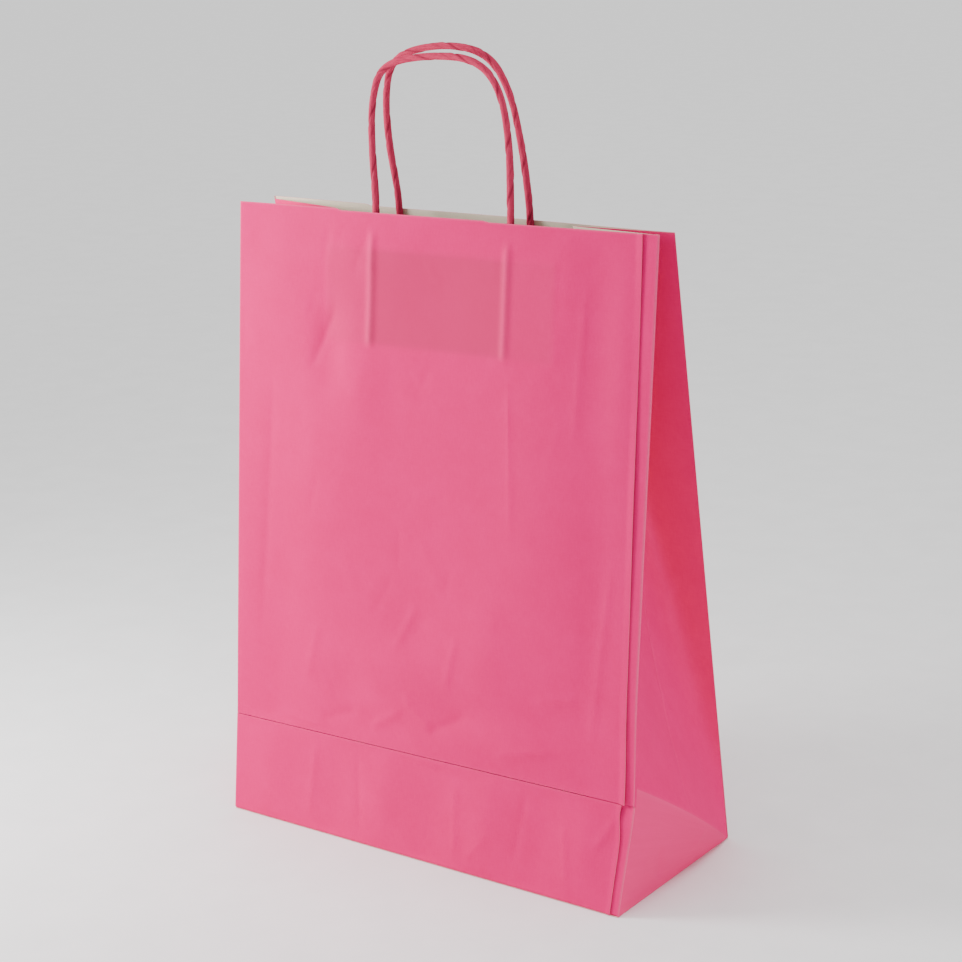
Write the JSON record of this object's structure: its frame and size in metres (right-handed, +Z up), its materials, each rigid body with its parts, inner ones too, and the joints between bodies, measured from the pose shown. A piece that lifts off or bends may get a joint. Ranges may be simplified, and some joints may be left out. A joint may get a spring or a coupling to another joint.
{
  "type": "gift bag",
  "caption": "Upright kraft paper gift bag with tucked side gussets, a folded block bottom and twisted paper cord handles.",
  "frame": {"origin": "centre of the bottom, on the surface the bag stands on", "axes": "+X along the width, -Y towards the front wall with the glued seam, +Z up"},
  "size_m": [0.2402, 0.1054, 0.3983],
  "materials": {
    "paper": "matt kraft paper, pink outside and cream inside",
    "patch": "matt cream kraft paper",
    "cord": "matt twisted paper"
  },
  "bodies": {
    "base": {"bottom_front_flap": "paper", "bottom_back_flap": "paper", "bottom_left_flap": "paper", "bottom_right_flap": "paper", "front_lower_band": "paper", "seam_flap_foot": "paper", "left_gusset_foot": "paper", "right_gusset_foot": "paper"},
    "front_wall": {"front_panel": "paper", "front_seam_flap": "paper", "front_patch_backing": "patch", "front_patch_cover": "patch", "front_cord_legs": "cord", "front_cord_bends": "cord"},
    "back_wall": {"back_panel": "paper", "back_patch_backing": "patch", "back_patch_cover": "patch", "back_cord_legs": "cord", "back_cord_bends": "cord"},
    "right_gusset": {"right_gusset_centre": "paper"},
    "right_front_fold": {"right_gusset_front_fold": "paper"},
    "right_rear_fold": {"right_gusset_rear_fold": "paper"},
    "left_gusset": {"left_gusset_centre": "paper"},
    "left_front_fold": {"left_gusset_front_fold": "paper"},
    "left_rear_fold": {"left_gusset_rear_fold": "paper"},
    "front_handle": {"front_handle": "cord"},
    "back_handle": {"back_handle": "cord"}
  },
  "joints": [
    {"name": "mouth", "type": "hinge", "parent": "base", "child": "front_wall", "pos_m": [0, -0.0435, 0.05192], "axis": [1, 0, 0], "range_deg": [0, 6]},
    {"name": "back_wall_tilt", "type": "hinge", "parent": "base", "child": "back_wall", "pos_m": [0, 0.0525, 0.0001], "axis": [-1, 0, 0], "range_deg": [0, 5.58]},
    {"name": "right_gusset_tilt", "type": "hinge", "parent": "base", "child": "right_gusset", "pos_m": [0.12, -0.0435, 0.05192], "axis": [0, 0.88, -0.475], "range_deg": [0, 3.95]},
    {"name": "right_front_fold", "type": "hinge", "parent": "right_gusset", "child": "right_front_fold", "pos_m": [0.12, -0.0435, 0.05192], "axis": [0.1887, -0.1449, -0.9713], "range_deg": [0, 37.2]},
    {"name": "right_rear_fold", "type": "hinge", "parent": "right_gusset", "child": "right_rear_fold", "pos_m": [0.12, 0.0525, 0.0001], "axis": [-0.1579, -0.1735, 0.9721], "range_deg": [0, 41]},
    {"name": "left_gusset_tilt", "type": "hinge", "parent": "base", "child": "left_gusset", "pos_m": [-0.12, -0.0435, 0.05192], "axis": [0, -0.88, 0.475], "range_deg": [0, 3.95]},
    {"name": "left_front_fold", "type": "hinge", "parent": "left_gusset", "child": "left_front_fold", "pos_m": [-0.12, -0.0435, 0.05192], "axis": [0.1887, 0.1449, 0.9713], "range_deg": [0, 37.2]},
    {"name": "left_rear_fold", "type": "hinge", "parent": "left_gusset", "child": "left_rear_fold", "pos_m": [-0.12, 0.0525, 0.0001], "axis": [-0.1579, 0.1735, -0.9721], "range_deg": [0, 41]},
    {"name": "front_handle_swing", "type": "hinge", "parent": "front_wall", "child": "front_handle", "pos_m": [0, -0.01231, 0.32364], "axis": [1, 0, 0], "range_deg": [0, 140], "deforming": ["front_cord_bends"]},
    {"name": "back_handle_swing", "type": "hinge", "parent": "back_wall", "child": "back_handle", "pos_m": [0, 0.00412, 0.32248], "axis": [-1, 0, 0], "range_deg": [0, 140], "deforming": ["back_cord_bends"]}
  ],
  "couplings": [
    {"joint": "back_wall_tilt", "follows": "mouth", "ratio": 0.9209},
    {"joint": "right_gusset_tilt", "follows": "mouth", "ratio": 0.6495},
    {"joint": "right_front_fold", "follows": "mouth", "ratio": 6.1214},
    {"joint": "right_rear_fold", "follows": "mouth", "ratio": 6.7579},
    {"joint": "left_gusset_tilt", "follows": "mouth", "ratio": 0.6495},
    {"joint": "left_front_fold", "follows": "mouth", "ratio": 6.1214},
    {"joint": "left_rear_fold", "follows": "mouth", "ratio": 6.7579}
  ]
}
